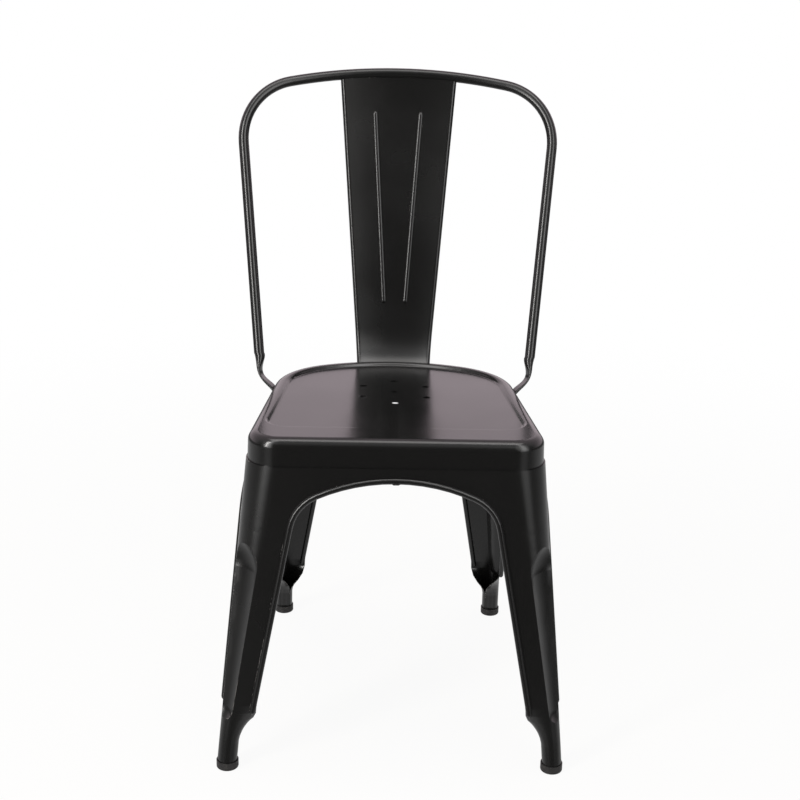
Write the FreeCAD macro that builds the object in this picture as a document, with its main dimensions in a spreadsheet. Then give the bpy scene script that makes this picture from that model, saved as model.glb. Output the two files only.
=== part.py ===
import FreeCAD, Part
import math
import os
import Sketcher
from FreeCAD import Placement, Rotation, Vector

# Metal bistro chair, millimetres. The origin is on the floor, midway between the four feet.
# +Z is up, the sitter faces -Y, and left and right are those of someone who faces the chair.

SIZES = (
    ("seat_height", 444, "top of the seat rim"),
    ("seat_front", 227.5, "from the origin forward to the skirt"),
    ("seat_back", 138.5, "from the origin back to the skirt, on the centre line"),
    ("seat_half", 183.5, "half the skirt's width where its sides leave the front corners"),
    ("seat_taper", 5.1, "degrees that each side of the seat draws in toward the back"),
    ("front_round", 40, "plan radius of the front corners"),
    ("rear_round", 112, "plan radius of the rear corners"),
    ("rear_bow", 240, "plan radius of the rear edge"),
    ("skirt_depth", 40, "rim top to the skirt's lower edge"),
    ("skirt_draft", 2, "degrees that the skirt leans in toward the rim"),
    ("rim_roll", 12, "radius of the rolled rim"),
    ("rim_front_width", 53, "skirt to the sunk panel, at the front"),
    ("rim_side_width", 20.5, "skirt to the sunk panel, at the sides"),
    ("rim_back_width", 17, "skirt to the sunk panel, at the back"),
    ("panel_sink", 4.5, "depth of the sunk panel"),
    ("panel_slope", 40, "degrees from upright of the panel's edge"),
    ("panel_blend", 3, "inner radius of the bends round the panel"),
    ("panel_round", 30, "plan radius of the panel's front corners"),
    ("pan_sheet", 1.5, "thickness of the seat's sheet"),
    ("drain_bore", 10, "diameter of the drain holes"),
    ("drain_circle", 49, "radius of the ring of drain holes"),
    ("drain_back", -6, "place of the middle drain hole along Y"),
    ("leg_sheet", 1.5, "thickness of the leg sheet"),
    ("leg_lap", 5, "how far the legs lap over the skirt"),
    ("foot_front", 232, "front feet, forward of the origin"),
    ("foot_back", 232, "rear feet, behind the origin"),
    ("foot_front_half", 209, "front feet, off the centre line"),
    ("foot_back_half", 164, "rear feet, off the centre line"),
    ("foot_stub", 14, "height of the upright end of each foot"),
    ("foot_tube", 12.7, "outer radius of the rolled foot"),
    ("tube_top", 38, "height where the foot stops being a closed tube"),
    ("unroll_top", 92, "height where the wings lie flat"),
    ("flare_band", 64, "leg top down to where the legs leave the seat's outline"),
    ("wing_width", 44, "width of a wing at that height"),
    ("front_spread", 0.095, "widening of the front legs per millimetre of height"),
    ("rear_spread", 0.145, "widening of the rear legs per millimetre of height"),
    ("arch_band", 19, "leg top down to the underside of the arches"),
    ("front_arch_bend", 230, "radius of the crown of the front arch"),
    ("side_arch_middle", -37, "place of the crown of the side arches along Y"),
    ("side_arch_bend", 185, "radius of the crown of the side arches"),
    ("rear_arch_bend", 140, "radius of the crown of the rear arch"),
    ("arch_shoulder", 52, "radius of the shoulders of the arches"),
    ("bead_round", 3.8, "radius of the rolled edge"),
    ("bead_past", 8, "how far the rolled edge runs on below the arch"),
    ("flute_drop", 128, "leg top down to the upper end of the flute's straight run"),
    ("flute_low", 90, "height of its lower end"),
    ("flute_top_round", 45, "radius of the flute at its upper end"),
    ("flute_low_round", 25, "radius of the flute at its lower end"),
    ("flute_top_deep", 24.4, "depth of the flute below the sharp corner, upper end"),
    ("flute_low_deep", 12.4, "depth of the flute below the sharp corner, lower end"),
    ("hoop_tube", 7, "outer radius of the backrest tube"),
    ("hoop_wall", 1.5, "wall of the backrest tube"),
    ("hoop_lean", 18.3, "degrees that the backrest leans back"),
    ("hoop_half", 219.6, "half width of the backrest where side and top lines meet"),
    ("hoop_rise", 376, "seat rim up to where side and top lines meet"),
    ("hoop_flare", 0.0954, "outward slope of the side tubes"),
    ("hoop_round", 85, "radius of the upper corners"),
    ("hoop_crown", 0.167, "rise of the top tube toward the middle"),
    ("hoop_bow", 0.30, "backward run of the top tube toward the middle"),
    ("hoop_joint", 30, "where the backrest's ends are screwed on, along Y"),
    ("hoop_joint_drop", 23, "seat rim down to those screws"),
    ("hoop_pressed_rise", 29, "those screws up to where the tubes are pressed flat"),
    ("hoop_round_rise", 55, "those screws up to where the tubes become round"),
    ("lug_thick", 3, "thickness of the flattened ends"),
    ("lug_width", 16, "width of the flattened ends"),
    ("screw_bore", 6, "diameter of the backrest screws"),
    ("screw_head", 12, "diameter of their heads"),
    ("screw_rise", 2.8, "height of their heads"),
    ("screw_past", 1.5, "how far they stand out of their nuts"),
    ("nut_wide", 10, "width across flats of the nuts"),
    ("nut_high", 5, "height of the nuts"),
    ("splat_sheet", 1.5, "thickness of the back panel"),
    ("splat_top_half", 82, "half width of the panel at the top"),
    ("splat_low_half", 53, "half width of the panel at the seat"),
    ("splat_low_drop", 34, "seat rim down to the panel's lower edge"),
    ("splat_foot_drop", 6, "seat rim down to where the panel leaves the skirt"),
    ("splat_sweep_rise", 40, "seat rim up to where the panel's foot has swept back"),
    ("splat_sweep", 17, "how far back the foot sweeps"),
    ("splat_curl", 2.5, "how much of the sweep lies at its lower end"),
    ("splat_top_front", 4, "how far the panel's front stands before the top tube's middle"),
    ("splat_top_bow", 520, "plan radius of the panel at the top"),
    ("splat_bend", 5, "outer radius of the panel's folds"),
    ("splat_fold", 8.5, "depth of the panel's folded sides"),
    ("splat_low_fold", 6.5, "their depth at the foot"),
    ("rib_round", 5, "radius of the pressed ribs"),
    ("rib_rise", 2, "height of the ribs above the panel"),
    ("rib_top_rise", 343, "seat rim up to the ribs' upper ends"),
    ("rib_low_rise", 81, "seat rim up to the ribs' lower ends"),
    ("rib_top_half", 32, "ribs off the centre line, upper end"),
    ("rib_low_half", 15.5, "ribs off the centre line, lower end"),
    ("rivet_bore", 5, "diameter of the rivets"),
    ("rivet_head", 9.5, "diameter of their heads"),
    ("rivet_rise", 2, "height of their heads"),
    ("rivet_spread", 26, "rivets of the back panel, off the centre line"),
    ("brace_width", 25, "width of the cross braces"),
    ("brace_thick", 2.5, "thickness of the cross braces"),
    ("brace_bend", 1.5, "inner radius of their bends"),
    ("brace_below", 3, "from the skirt's lower edge down to the braces"),
    ("brace_drop", 16, "length of the turned-down ends of the braces"),
    ("cap_height", 11, "height of the foot caps"),
    ("cap_wall", 1.2, "wall of the foot caps"),
    ("cap_floor", 3, "thickness of the foot caps under the tube"),
    ("seat_gap", 0.3, "clearance between pieces that sit on each other"),
    ("head_gap", 0.05, "clearance under the heads of screws and rivets"),
)

os.makedirs("parts", exist_ok=True)
doc = FreeCAD.newDocument("bistro_chair")
sheet = doc.addObject("Spreadsheet::Sheet", "sizes")
for row, (alias, value, meaning) in enumerate(SIZES, start=1):
    sheet.set("A%d" % row, alias)
    sheet.set("B%d" % row, str(value))
    sheet.set("C%d" % row, meaning)
    sheet.setAlias("B%d" % row, alias)
doc.recompute()


def size(alias):
    return float(sheet.get(alias))


def between(low, high, share):
    return low + (high - low) * share


def share_of(value, low, high):
    return min(max((value - low) / (high - low), 0.0), 1.0)


# A share that starts and ends gently.
def eased(share):
    return share ** 2 * (3 - 2 * share)


TAPER = math.radians(size("seat_taper"))

# Heights that follow from the seat's.
SEAT_TOP = size("seat_height")
SKIRT_LOW = SEAT_TOP - size("skirt_depth")
LEG_TOP = SKIRT_LOW + size("leg_lap")
ARCH_TOP = LEG_TOP - size("arch_band")
FLARE_LOW = LEG_TOP - size("flare_band")
FLUTE_TOP = LEG_TOP - size("flute_drop")
JOINT_HEIGHT = SEAT_TOP - size("hoop_joint_drop")
SPLAT_LOW = SEAT_TOP - size("splat_low_drop")
SPLAT_FOOT_TOP = SEAT_TOP - size("splat_foot_drop")
SPLAT_SWEEP_TOP = SEAT_TOP + size("splat_sweep_rise")


# The seat's outline in plan: straight front, drawn-in sides, round corners, bowed rear edge.
# It shapes the skirt, the sunk panel and the tops of the legs.

def seat_outline(front, half, back, front_round, rear_round, bow):
    side_out = Vector(math.cos(TAPER), math.sin(TAPER), 0)
    side_run = Vector(-math.sin(TAPER), math.cos(TAPER), 0)
    side_start = Vector(half, -front + front_round * (1 + math.sin(TAPER)), 0)
    front_centre = side_start - side_out * front_round
    bow_centre = Vector(0, back - bow, 0)
    # The rear corner's circle touches the side line and, from inside, the bowed edge.
    foot = side_start - side_out * rear_round - bow_centre
    run = foot.dot(side_run)
    length = -run + math.sqrt(run ** 2 - foot.dot(foot) + (bow - rear_round) ** 2)
    side_end = side_start + side_run * length
    rear_centre = side_end - side_out * rear_round
    bow_end = bow_centre + (rear_centre - bow_centre).normalize() * bow
    return {
        "front_centre": front_centre,
        "front_end": Vector(front_centre.x, -front, 0),
        "side_start": side_start,
        "side_end": side_end,
        "rear_centre": rear_centre,
        "bow_end": bow_end,
        "bow_top": Vector(0, back, 0),
        "bow_centre": bow_centre,
        "bow": bow,
        "front_round": front_round,
        "rear_round": rear_round,
    }


def skirt_outline(grow):
    return seat_outline(
        size("seat_front") + grow,
        size("seat_half") + grow * math.cos(TAPER),
        size("seat_back") + grow,
        size("front_round") + grow,
        size("rear_round") + grow,
        size("rear_bow") + grow,
    )


def panel_outline(grow):
    return seat_outline(
        size("seat_front") - size("rim_front_width") + grow,
        size("seat_half") - size("rim_side_width") + grow * math.cos(TAPER),
        size("seat_back") - size("rim_back_width") + grow,
        size("panel_round") + grow,
        size("rear_round") - size("rim_side_width") + grow,
        size("rear_bow") - size("rim_back_width") + grow,
    )


# How far the leaning skirt has drawn in at a height.
def skirt_shrink(height):
    return (height - SKIRT_LOW) * math.tan(math.radians(size("skirt_draft")))


def mirrored(point):
    return Vector(-point.x, point.y, point.z)


def corner_arc(start, centre, end):
    radius = (start - centre).Length
    middle = centre + ((start - centre) + (end - centre)).normalize() * radius
    return Part.Arc(start, middle, end)


def outline_curves(outline):
    front_end = outline["front_end"]
    side_start = outline["side_start"]
    side_end = outline["side_end"]
    bow_end = outline["bow_end"]
    front_centre = outline["front_centre"]
    rear_centre = outline["rear_centre"]
    return [
        Part.LineSegment(mirrored(front_end), front_end),
        corner_arc(front_end, front_centre, side_start),
        Part.LineSegment(side_start, side_end),
        corner_arc(side_end, rear_centre, bow_end),
        Part.Arc(bow_end, outline["bow_top"], mirrored(bow_end)),
        corner_arc(mirrored(bow_end), mirrored(rear_centre), mirrored(side_end)),
        Part.LineSegment(mirrored(side_end), mirrored(side_start)),
        corner_arc(mirrored(side_start), mirrored(front_centre), mirrored(front_end)),
    ]


def origin_plane(body, role):
    for feature in body.Origin.OriginFeatures:
        if feature.Role == role:
            return feature
    raise ValueError("no plane " + role)


# A sketch on one of the body's own planes, shifted along its normal.
def add_sketch(body, name, curves, height=None, role="XY_Plane"):
    sketch = body.newObject("Sketcher::SketchObject", name)
    sketch.AttachmentSupport = (origin_plane(body, role), [""])
    sketch.MapMode = "FlatFace"
    if height is not None:
        sketch.setExpression("AttachmentOffset.Base.z", height)
    sketch.addGeometry(curves, False)
    doc.recompute()
    return sketch


def edges_at(shape, height, tolerance=0.05):
    found = []
    for index, edge in enumerate(shape.Edges, start=1):
        box = edge.BoundBox
        if abs(box.ZMin - height) < tolerance and abs(box.ZMax - height) < tolerance:
            found.append("Edge%d" % index)
    return found


def add_fillet(body, name, base, edges, radius):
    fillet = body.newObject("PartDesign::Fillet", name)
    fillet.Base = (base, edges)
    fillet.setExpression("Radius", radius)
    doc.recompute()
    return fillet


NODES = []


def keep(obj, name):
    obj.Label = name
    NODES.append(obj)
    return obj


def add_shape(shape, name):
    feature = doc.addObject("Part::Feature", name)
    feature.Shape = shape
    return feature


# Seat pan: one pressing with a rolled rim, a sunk panel, seven drain holes and a skirt.
# Its form is made twice, once for the outside and once a sheet's thickness smaller.

def make_pan_form(name, inset, floor_blend, lip_blend):
    body = doc.addObject("PartDesign::Body", name)
    low = "sizes.seat_height - sizes.skirt_depth"
    outline = add_sketch(body, name + "_outline", outline_curves(skirt_outline(-inset)), low)
    block = body.newObject("PartDesign::Pad", name + "_block")
    block.Profile = outline
    block.setExpression("Length", "sizes.skirt_depth - %g" % inset)
    block.setExpression("TaperAngle", "-sizes.skirt_draft")
    doc.recompute()
    top = size("seat_height") - inset
    rim = add_fillet(body, name + "_rim", block, edges_at(block.Shape, top),
                     "sizes.rim_roll - %g" % inset)
    panel = add_sketch(body, name + "_panel", outline_curves(panel_outline(inset)),
                       "sizes.seat_height - %g" % inset)
    sink = body.newObject("PartDesign::Pocket", name + "_sink")
    sink.Profile = panel
    sink.setExpression("Length", "sizes.panel_sink")
    sink.setExpression("TaperAngle", "-sizes.panel_slope")
    doc.recompute()
    floor = edges_at(sink.Shape, top - size("panel_sink"))
    low_blend = add_fillet(body, name + "_floor", sink, floor, floor_blend)
    lip = inner_edges(low_blend.Shape, top)
    add_fillet(body, name + "_lip", low_blend, lip, lip_blend)
    return body


# The edges at a height that lie inside the rim: the outer ones stay as rolled.
def inner_edges(shape, height):
    limit = size("seat_half") - size("rim_side_width") + size("panel_sink")
    found = []
    for name in edges_at(shape, height):
        edge = shape.getElement(name)
        if edge.BoundBox.XMax < limit and edge.BoundBox.XMin > -limit:
            found.append(name)
    return found


def add_bore(body, name, radius, length, place):
    bore = body.newObject("PartDesign::SubtractiveCylinder", name)
    bore.setExpression("Radius", radius)
    bore.Height = length
    bore.Placement = place
    doc.recompute()
    return bore


def add_drain_holes(body):
    up = Vector(0, 0, 1)
    radius = size("drain_bore") / 2
    middle = add_sketch(body, "middle_drain", [Part.Circle(Vector(0, 0, 0), up, radius)],
                        "sizes.seat_height")
    ring_place = Vector(0, size("drain_circle"), 0)
    ring = add_sketch(body, "ring_drain", [Part.Circle(ring_place, up, radius)],
                      "sizes.seat_height")
    for profile in (middle, ring):
        profile.setExpression("AttachmentOffset.Base.y", "sizes.drain_back")
        hole = body.newObject("PartDesign::Pocket", profile.Name + "_hole")
        hole.Profile = profile
        hole.setExpression("Length", "sizes.skirt_depth")
        doc.recompute()
    pattern = body.newObject("PartDesign::PolarPattern", "drain_ring")
    pattern.Originals = [hole]
    pattern.Axis = (ring, ["N_Axis"])
    pattern.Angle = 360
    pattern.Occurrences = 6
    body.Tip = pattern
    doc.recompute()


# The seat's skirt at a height, as the outline of its outer face.
def skirt_at(height):
    return skirt_outline(-skirt_shrink(height))


# The outward direction of the leaning skirt, from its direction in plan.
def leaned(out):
    draft = math.radians(size("skirt_draft"))
    return out * math.cos(draft) + Vector(0, 0, math.sin(draft))


# A point of the skirt's side, and the direction that points out of it.
def skirt_side(y, height):
    outline = skirt_at(height)
    start = outline["side_start"]
    end = outline["side_end"]
    out = Vector(math.cos(TAPER), math.sin(TAPER), 0)
    if y > end.y:
        centre = outline["rear_centre"]
        rise = y - centre.y
        point = centre + Vector(math.sqrt(outline["rear_round"] ** 2 - rise ** 2), rise, 0)
        out = (point - centre).normalize()
    else:
        point = start + (end - start) * ((y - start.y) / (end.y - start.y))
    return Vector(point.x, point.y, height), leaned(out)


# A point of the skirt's back, and the direction that points out of it.
def skirt_back(x, height):
    outline = skirt_at(height)
    centre = outline["bow_centre"]
    point = centre + Vector(x, math.sqrt(outline["bow"] ** 2 - x ** 2), 0)
    out = (point - centre).normalize()
    return Vector(point.x, point.y, height), leaned(out)


# Legs. Each is one pressing: two wings that meet in a round corner, a flute pressed into the
# corner, and below the arches the wings curl together into the tube that is the foot. A leg is
# drawn for the right side in plan axes of its own: u runs to the side, v to the front or back.

# The heights of its sections: the foot's, those where it unrolls, and those of the flat wings,
# which lie closer together where the corner opens out to the seat's outline.
CURL_SHARES = (0, 0.13, 0.27, 0.42, 0.6, 0.8)
FLAT_SHARES = (0, 0.2, 0.4, 0.6, 0.8)
FLARE_SHARES = (0, 0.34, 0.73, 1)
CURL_LEVELS = [size("foot_stub")]
CURL_LEVELS += [between(size("tube_top"), size("unroll_top"), share) for share in CURL_SHARES]
WING_LEVELS = [between(size("unroll_top"), FLARE_LOW, share) for share in FLAT_SHARES]
WING_LEVELS += [between(FLARE_LOW, SKIRT_LOW, share) for share in FLARE_SHARES] + [LEG_TOP]


def leg_numbers(front):
    top_grow = size("seat_gap") + size("leg_sheet") - skirt_shrink(LEG_TOP)
    outline = skirt_outline(top_grow)
    if front:
        side_point = outline["side_start"]
        return {
            "way": -1,
            "top_side": Vector(side_point.x, -side_point.y, 0),
            "top_face": -outline["front_end"].y,
            "top_round": outline["front_round"],
            "turn": -TAPER,
            "bow": 0,
            "foot": Vector(size("foot_front_half"), size("foot_front"), 0),
            "spread": size("front_spread"),
            "join": -size("side_arch_middle"),
            "crown": size("front_arch_bend"),
        }
    side_point = outline["side_end"]
    return {
        "way": 1,
        "top_side": Vector(side_point.x, side_point.y, 0),
        "top_face": outline["bow_top"].y,
        "top_round": outline["rear_round"],
        "turn": TAPER,
        "bow": 1 / outline["bow"],
        "foot": Vector(size("foot_back_half"), size("foot_back"), 0),
        "spread": size("rear_spread"),
        "join": size("side_arch_middle"),
        "crown": size("rear_arch_bend"),
    }


# Where the leg's outer faces and its corner circle are at a height.
def leg_level(leg, height):
    tube = size("foot_tube")
    rise = share_of(height, size("foot_stub"), LEG_TOP)
    flare = share_of(height, FLARE_LOW, SKIRT_LOW)
    open_share = share_of(height, size("tube_top"), LEG_TOP)
    face = between(leg["foot"].y + tube, leg["top_face"], rise)
    side_u = between(leg["foot"].x + tube, leg["top_side"].x, rise)
    pivot = between(tube, leg["top_face"] - leg["top_side"].y, open_share)
    if leg["way"] < 0:
        radius = between(tube, leg["top_round"], open_share)
    else:
        steady = between(tube, size("front_round"), open_share)
        radius = steady + (leg["top_round"] - size("front_round")) * flare ** 1.5
    turn = leg["turn"] * flare
    out = Vector(math.cos(turn), math.sin(turn), 0)
    distance = out.dot(Vector(side_u, face - pivot, 0))
    bow = leg["bow"] * flare
    if bow > 0:
        hub = Vector(0, face - 1 / bow, 0)
        along = Vector(-out.y, out.x, 0)
        start = out * (distance - radius) - hub
        run = start.dot(along)
        length = -run + math.sqrt(run ** 2 - start.dot(start) + (1 / bow - radius) ** 2)
        centre = hub + start + along * length
        face_out = (centre - hub).normalize()
    else:
        hub = None
        centre_v = face - radius
        centre = Vector((distance - radius - out.y * centre_v) / out.x, centre_v, 0)
        face_out = Vector(0, 1, 0)
    return {
        "centre": centre,
        "radius": radius,
        "face": face,
        "face_out": face_out,
        "side_out": out,
        "distance": distance,
        "hub": hub,
        "bow": bow,
        "side": (distance - out.y * face) / out.x,
    }


# Width of a leg at a height, from its outer corner to the edge of the arch.
def leg_width(leg, height):
    return size("wing_width") + leg["spread"] * (height - size("unroll_top"))


def rotated(vector, angle):
    turned = Rotation(Vector(0, 0, 1), math.degrees(angle)).multVec(vector)
    return turned


# Line of the sheet at a height, inset from its outer face: face wing, corner, side wing.
def leg_line(leg, height, inset):
    level = leg_level(leg, height)
    centre = level["centre"]
    radius = level["radius"] - inset
    face_start = centre + level["face_out"] * radius
    side_start = centre + level["side_out"] * radius
    corner = corner_arc(face_start, centre, side_start)
    if height < size("unroll_top"):
        face_wing = curled_wing(level, face_start, level["face_out"], 1, inset, height)
        side_wing = curled_wing(level, side_start, level["side_out"], -1, inset, height)
    else:
        face_wing = flat_face_wing(leg, level, face_start, inset, height)
        side_wing = flat_side_wing(leg, level, side_start, inset, height)
    return [face_wing, corner, side_wing]


# How far the flat wings' ends have run from the leg's edge to the middle of the arch. They
# meet inside the rolled edge, a little below the crown.
def wing_reach(height):
    return share_of(height, size("unroll_top"), ARCH_TOP - size("bead_round") * 1.5)


def flat_face_wing(leg, level, start, inset, height):
    low = leg_level(leg, size("unroll_top"))
    end_u = between(low["side"] - size("wing_width"), 0, wing_reach(height))
    if level["hub"] is None:
        return Part.LineSegment(Vector(end_u, level["face"] - inset, 0), start)
    span = 1 / level["bow"] - inset
    end = level["hub"] + Vector(end_u, math.sqrt(span ** 2 - end_u ** 2), 0)
    return corner_arc(end, level["hub"], start)


def flat_side_wing(leg, level, start, inset, height):
    low = leg_level(leg, size("unroll_top"))
    end_v = between(low["face"] - size("wing_width"), leg["join"], wing_reach(height))
    out = level["side_out"]
    end_u = (level["distance"] - inset - out.y * end_v) / out.x
    return Part.LineSegment(start, Vector(end_u, end_v, 0))


# Below the arches a wing curls inward, tighter and tighter down to the tube, where it is half
# of what the round corner leaves of the circle. At the top it lies as good as flat.
FLAT_CURL = 0.02


def curled_wing(level, start, out, way, inset, height):
    tube = size("foot_tube")
    share = share_of(height, size("tube_top"), size("unroll_top"))
    curl = between(1, FLAT_CURL, eased(share)) / tube
    closed = 0.75 * math.pi * tube - size("seat_gap")
    length = between(closed, size("wing_width") - level["radius"], share)
    hub = start - out * (1 / curl - inset)
    arm = start - hub
    middle = hub + rotated(arm, way * length * curl / 2)
    end = hub + rotated(arm, way * length * curl)
    if way > 0:
        return Part.Arc(end, middle, start)
    return Part.Arc(start, middle, end)


def placed_wire(curves, height):
    wire = Part.Wire([curve.toShape() for curve in curves])
    wire.translate(Vector(0, 0, height))
    return wire


def sheet_section(leg, height):
    outer = leg_line(leg, height, 0)
    inner = leg_line(leg, height, size("leg_sheet"))
    side_cap = Part.LineSegment(outer[2].EndPoint, inner[2].EndPoint)
    face_cap = Part.LineSegment(inner[0].StartPoint, outer[0].StartPoint)
    return placed_wire(outer + [side_cap] + inner[::-1] + [face_cap], height)


def filled_section(leg, height):
    outer = leg_line(leg, height, 0)
    closing = Part.LineSegment(outer[2].EndPoint, outer[0].StartPoint)
    return placed_wire(outer + [closing], height)


# One arch opening: two lines along the legs, a crown and two round shoulders between them.
# It is drawn as (place along the arch, height), grown outward by a margin.
def arch_side(low, high, crown_middle, crown, grow):
    way = 1 if low.x > crown_middle else -1
    run = (high - low).normalize()
    inward = Vector(-way * run.z, 0, way * run.x)
    shoulder = size("arch_shoulder") + grow
    radius = crown + grow
    hub = Vector(crown_middle, 0, ARCH_TOP - crown)
    start = low - inward * grow
    offset = start + inward * shoulder - hub
    along = offset.dot(run)
    length = -along + math.sqrt(along ** 2 - offset.dot(offset) + (radius - shoulder) ** 2)
    line_end = start + run * length
    centre = line_end + inward * shoulder
    crown_start = hub + (centre - hub).normalize() * radius
    return {
        "start": start,
        "line_end": line_end,
        "centre": centre,
        "crown_start": crown_start,
        "top": hub + Vector(0, 0, radius),
        "hub": hub,
    }


def face_arch_side(leg, grow):
    points = []
    for height in (size("unroll_top"), FLUTE_TOP):
        level = leg_level(leg, height)
        points.append(Vector(level["side"] - leg_width(leg, height), 0, height))
    return arch_side(points[0], points[1], 0, leg["crown"], grow)


def side_arch_side(leg, grow):
    points = []
    for height in (size("unroll_top"), FLUTE_TOP):
        level = leg_level(leg, height)
        points.append(Vector(level["face"] - leg_width(leg, height), 0, height))
    return arch_side(points[0], points[1], leg["join"], size("side_arch_bend"), grow)


# The half opening beside a leg, as a closed flat face.
def arch_face(half, middle):
    low = half["start"]
    base = Vector(middle, 0, low.z)
    curves = [
        Part.LineSegment(base, low),
        Part.LineSegment(low, half["line_end"]),
        corner_arc(half["line_end"], half["centre"], half["crown_start"]),
        corner_arc(half["crown_start"], half["hub"], half["top"]),
        Part.LineSegment(half["top"], base),
    ]
    return Part.Face(Part.Wire([curve.toShape() for curve in curves]))


# Points along half an arch, from the crown down to the curl.
PATH_STEPS = 6


def arch_points(half):
    crown = corner_arc(half["crown_start"], half["hub"], half["top"])
    shoulder = corner_arc(half["line_end"], half["centre"], half["crown_start"])
    line_end = half["line_end"]
    down = (half["start"] - line_end).normalize()
    line = half["start"] + down * size("bead_past") - line_end
    points = [Vector(half["top"])]
    points += arc_points(crown, PATH_STEPS)[::-1][1:]
    points += arc_points(shoulder, PATH_STEPS)[::-1][1:]
    points += [line_end + line * (step / PATH_STEPS) for step in range(1, PATH_STEPS + 1)]
    return points


def arc_points(curve, steps):
    first = curve.FirstParameter
    last = curve.LastParameter
    points = [curve.value(between(first, last, i / steps)) for i in range(steps + 1)]
    if (points[0] - curve.StartPoint).Length > 0.001:
        points.reverse()
    return points


def face_point(leg, u, height):
    level = leg_level(leg, height)
    if level["hub"] is None:
        return Vector(u, level["face"], height)
    span = 1 / level["bow"]
    return Vector(u, level["hub"].y + math.sqrt(span ** 2 - u ** 2), height)


def side_point(leg, v, height):
    level = leg_level(leg, height)
    out = level["side_out"]
    return Vector((level["distance"] - out.y * v) / out.x, v, height)


# A round bar through points, which narrows to a blunt tip past the last one. The tip is given
# as distances and radii in shares of the bar's radius.
BAR_TIP = ((0.7, 0.75), (1, 0.4))


def round_bar(points, radius, first_normal):
    tip = (points[-1] - points[-2]).normalize() * radius
    route = points + [points[-1] + tip * past for past, narrow in BAR_TIP]
    radii = [radius] * len(points) + [radius * narrow for past, narrow in BAR_TIP]
    rings = []
    for index, point in enumerate(route):
        before = route[max(index - 1, 0)]
        after = route[min(index + 1, len(route) - 1)]
        normal = first_normal if index == 0 else after - before
        rings.append(Part.Wire([Part.Circle(point, normal, radii[index]).toShape()]))
    return Part.makeLoft(rings, True, True)


# The rolled edge of a leg: along the face arch and along the side arch.
def make_beads(leg):
    radius = size("bead_round")
    face_half = face_arch_side(leg, radius)
    face_path = [face_point(leg, p.x, p.z) for p in arch_points(face_half)]
    side_half = side_arch_side(leg, radius)
    side_path = [side_point(leg, p.x, p.z) for p in arch_points(side_half)]
    return [round_bar(face_path, radius, Vector(1, 0, 0)),
            round_bar(side_path, radius, Vector(0, 1, 0))]


# The flute: a cone with round ends that lies along the leg's outer corner.
def flute_tool(leg, grow):
    ends = []
    outward = Vector(1, 1, 0).normalize()
    for height, end in ((FLUTE_TOP, "flute_top"), (size("flute_low"), "flute_low")):
        level = leg_level(leg, height)
        corner = Vector(level["side"], level["face"], height)
        radius = size(end + "_round")
        ends.append((corner + outward * (radius - size(end + "_deep")), radius + grow))
    (top, top_radius), (low, low_radius) = ends
    run = top - low
    cone = Part.makeCone(low_radius, top_radius, run.Length, low, run)
    tool = cone.fuse([Part.makeSphere(top_radius, top), Part.makeSphere(low_radius, low)])
    return tool


def make_leg(front):
    leg = leg_numbers(front)
    sheet_levels = [size("cap_floor")] + CURL_LEVELS + WING_LEVELS
    sheet = Part.makeLoft([sheet_section(leg, z) for z in sheet_levels], True, True)
    filled_levels = CURL_LEVELS[1:] + WING_LEVELS[:-2]
    filled = Part.makeLoft([filled_section(leg, z) for z in filled_levels], True, True)
    bead = size("bead_round")
    past = leg["foot"].Length
    face_hole = arch_face(face_arch_side(leg, bead), 0).extrude(Vector(0, past, 0))
    side_face = arch_face(side_arch_side(leg, bead), leg["join"])
    side_face.rotate(Vector(0, 0, 0), Vector(0, 0, 1), 90)
    side_hole = side_face.extrude(Vector(past, 0, 0))
    sheet = sheet.cut([face_hole, side_hole])
    flute = flute_tool(leg, 0)
    bump = flute_tool(leg, size("leg_sheet"))
    liner = filled.common(bump).cut(flute)
    shape = sheet.cut(bump).fuse([liner] + make_beads(leg))
    return shape


# The right leg of a pair, turned from the leg's own axes into the chair's.
def add_legs(front):
    pair = "front" if front else "rear"
    shape = make_leg(front)
    right = shape.mirror(Vector(0, 0, 0), Vector(0, 1, 0)) if front else shape
    left = right.mirror(Vector(0, 0, 0), Vector(1, 0, 0))
    keep(add_shape(left, pair + "_left_leg"), pair + "_left_leg")
    keep(add_shape(right, pair + "_right_leg"), pair + "_right_leg")


# Backrest hoop: one bent tube. Its side tubes lean back and spread, the top bows back and up,
# and each end is pressed flat, bent in toward the seat and screwed to the skirt.

def hoop_side_point(height):
    lean = math.tan(math.radians(size("hoop_lean")))
    rise = height - SEAT_TOP - size("hoop_rise")
    back = size("hoop_joint") + (height - JOINT_HEIGHT) * lean
    return Vector(size("hoop_half") + rise * size("hoop_flare"), back, height)


def hoop_path():
    corner = hoop_side_point(SEAT_TOP + size("hoop_rise"))
    start = hoop_side_point(JOINT_HEIGHT + size("hoop_round_rise"))
    up = (corner - start).normalize()
    inward = Vector(-1, size("hoop_bow"), size("hoop_crown")).normalize()
    turn = up.getAngle(inward)
    tangent = size("hoop_round") * math.tan(turn / 2)
    bend_start = corner - up * tangent
    bend_end = corner + inward * tangent
    across = (inward - up * inward.dot(up)).normalize()
    bend_centre = bend_start + across * size("hoop_round")
    top_turn = inward.getAngle(Vector(-1, 0, 0))
    rise = bend_end.x * math.tan(top_turn / 2)
    lift = Vector(0, size("hoop_bow"), size("hoop_crown")).normalize() * rise
    top = Vector(0, bend_end.y, bend_end.z) + lift
    return {
        "start": start,
        "up": up,
        "bend_start": bend_start,
        "bend_centre": bend_centre,
        "bend_end": bend_end,
        "top": top,
    }


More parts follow.
